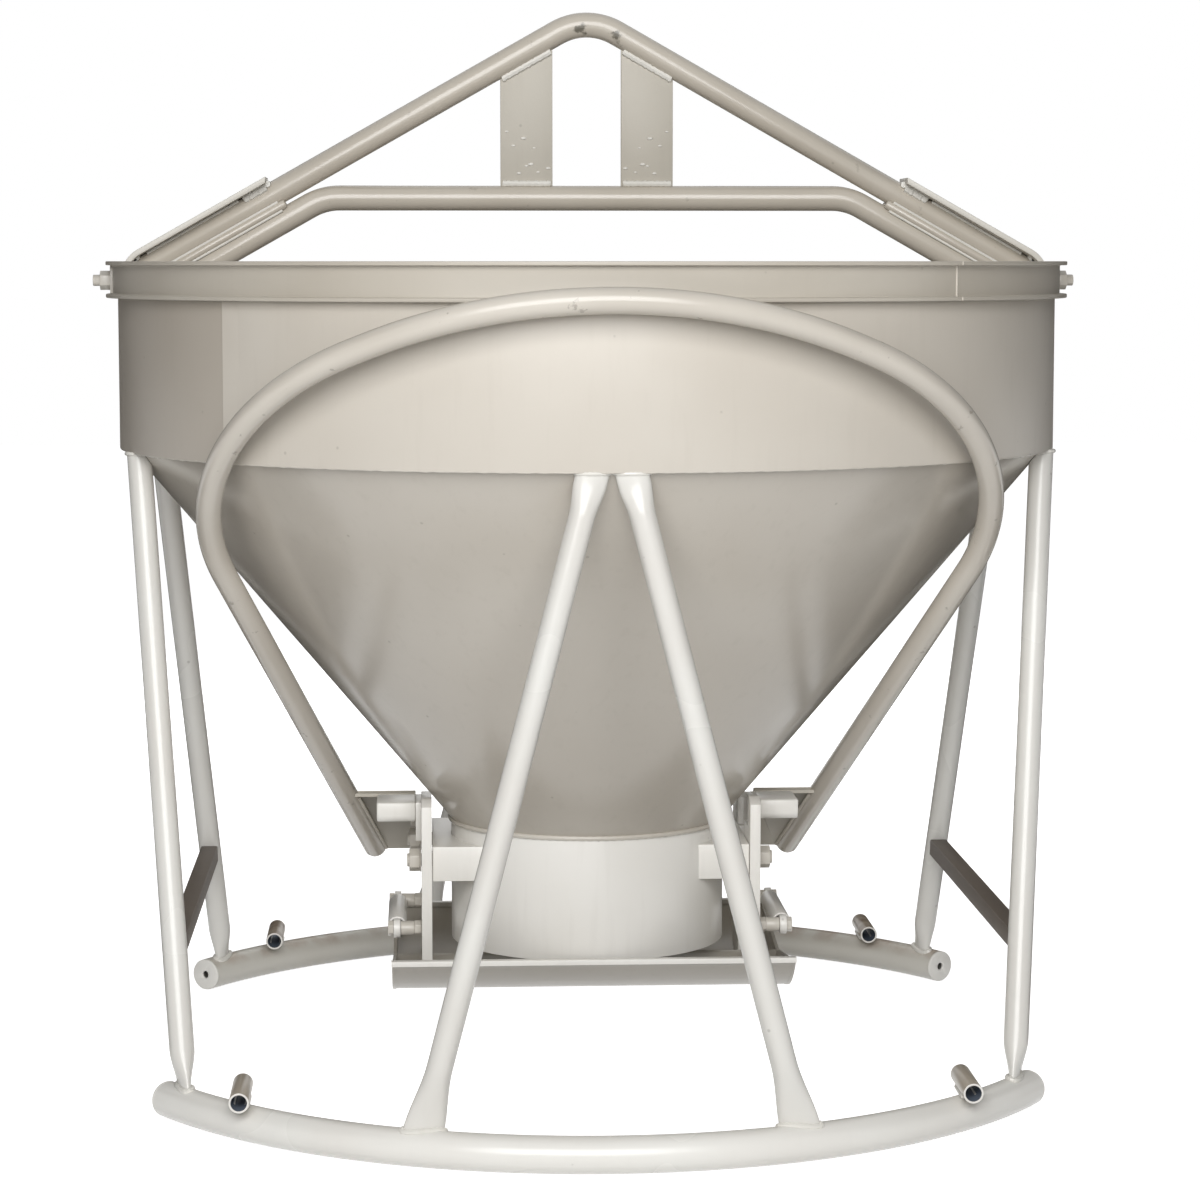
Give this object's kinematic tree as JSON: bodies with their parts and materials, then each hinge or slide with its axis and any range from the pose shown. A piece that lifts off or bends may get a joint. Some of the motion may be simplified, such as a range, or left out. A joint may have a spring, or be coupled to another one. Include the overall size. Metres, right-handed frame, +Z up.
{
  "type": "concrete bucket",
  "caption": "Round crane-lifted concrete bucket with a fixed bail, split pipe base, two-leaf bottom gate and a loop handle that opens it.",
  "frame": {"origin": "on the floor under the hopper's axis", "axes": "+Z up, +Y to the back, +X to the right as seen from the handle's side"},
  "size_m": [1.766, 1.818, 1.8759],
  "materials": {
    "hopper_paint": "semi-gloss warm grey paint on steel sheet",
    "frame_paint": "semi-gloss warm grey paint on steel pipe and bar",
    "painted_fasteners": "painted steel bolts and nuts"
  },
  "bodies": {
    "bucket": {"drum_shell": "hopper_paint", "hopper_cone": "hopper_paint", "discharge_throat": "frame_paint", "rim_channel": "hopper_paint", "rim_pads": "frame_paint", "bail_top_bar": "frame_paint", "bail_cross_bar": "frame_paint", "bail_plate_left": "frame_paint", "bail_plate_right": "frame_paint", "bail_strap_left": "frame_paint", "bail_strap_right": "frame_paint", "bail_fillers": "frame_paint", "bail_bolts": "painted_fasteners", "bail_nuts": "painted_fasteners", "base_ring_front": "frame_paint", "base_ring_rear": "frame_paint", "ring_end_caps": "frame_paint", "front_leg_left": "frame_paint", "front_leg_right": "frame_paint", "rear_leg_left": "frame_paint", "rear_leg_right": "frame_paint", "side_leg_front_left": "frame_paint", "side_leg_front_right": "frame_paint", "side_leg_rear_left": "frame_paint", "side_leg_rear_right": "frame_paint", "side_brace_left": "frame_paint", "side_brace_right": "frame_paint", "guide_sleeves": "frame_paint", "pivot_bracket_left": "frame_paint", "pivot_bracket_right": "frame_paint", "pivot_bolts": "painted_fasteners", "pivot_nuts": "painted_fasteners", "pivot_washers": "painted_fasteners"},
    "rear_gate": {"rear_gate_pan": "frame_paint", "rear_gate_arm_left": "frame_paint", "rear_gate_arm_right": "frame_paint", "rear_strut_bolts": "painted_fasteners", "rear_strut_nuts": "painted_fasteners", "rear_strut_spacers": "frame_paint", "handle_loop": "frame_paint", "handle_gusset_left": "frame_paint", "handle_gusset_right": "frame_paint", "handle_hub_left": "frame_paint", "handle_hub_right": "frame_paint", "handle_block_left": "frame_paint", "handle_block_right": "frame_paint", "handle_bolts": "painted_fasteners"},
    "front_gate": {"front_gate_pan": "frame_paint", "front_gate_arm_left": "frame_paint", "front_gate_arm_right": "frame_paint", "front_strut_bolts": "painted_fasteners", "front_strut_nuts": "painted_fasteners", "front_strut_spacers": "frame_paint"},
    "left_tube": {"strut_tube_left": "frame_paint"},
    "right_tube": {"strut_tube_right": "frame_paint"},
    "left_rod": {"strut_rod_left": "frame_paint"},
    "right_rod": {"strut_rod_right": "frame_paint"}
  },
  "joints": [
    {"name": "gate_open", "type": "hinge", "parent": "bucket", "child": "rear_gate", "pos_m": [0, 0.11, 0.365], "axis": [1, 0, 0], "range_deg": [0, 36], "stiffness_Nm_per_rad": 120, "springref_deg": -51.57},
    {"name": "front_gate_open", "type": "hinge", "parent": "bucket", "child": "front_gate", "pos_m": [0, -0.11, 0.365], "axis": [1, 0, 0], "range_deg": [-36, 0]},
    {"name": "left_tube_turn", "type": "hinge", "parent": "rear_gate", "child": "left_tube", "pos_m": [-0.347, 0.13, 0.245], "axis": [1, 0, 0], "range_deg": [-36, 0]},
    {"name": "left_rod_turn", "type": "hinge", "parent": "front_gate", "child": "left_rod", "pos_m": [-0.347, -0.13, 0.245], "axis": [1, 0, 0], "range_deg": [0, 36]},
    {"name": "right_tube_turn", "type": "hinge", "parent": "rear_gate", "child": "right_tube", "pos_m": [0.347, 0.13, 0.245], "axis": [1, 0, 0], "range_deg": [-36, 0]},
    {"name": "right_rod_turn", "type": "hinge", "parent": "front_gate", "child": "right_rod", "pos_m": [0.347, -0.13, 0.245], "axis": [1, 0, 0], "range_deg": [0, 36]}
  ],
  "couplings": [
    {"joint": "front_gate_open", "follows": "gate_open", "ratio": -1},
    {"joint": "left_tube_turn", "follows": "gate_open", "ratio": -1},
    {"joint": "left_rod_turn", "follows": "gate_open", "ratio": 1},
    {"joint": "right_tube_turn", "follows": "gate_open", "ratio": -1},
    {"joint": "right_rod_turn", "follows": "gate_open", "ratio": 1}
  ]
}
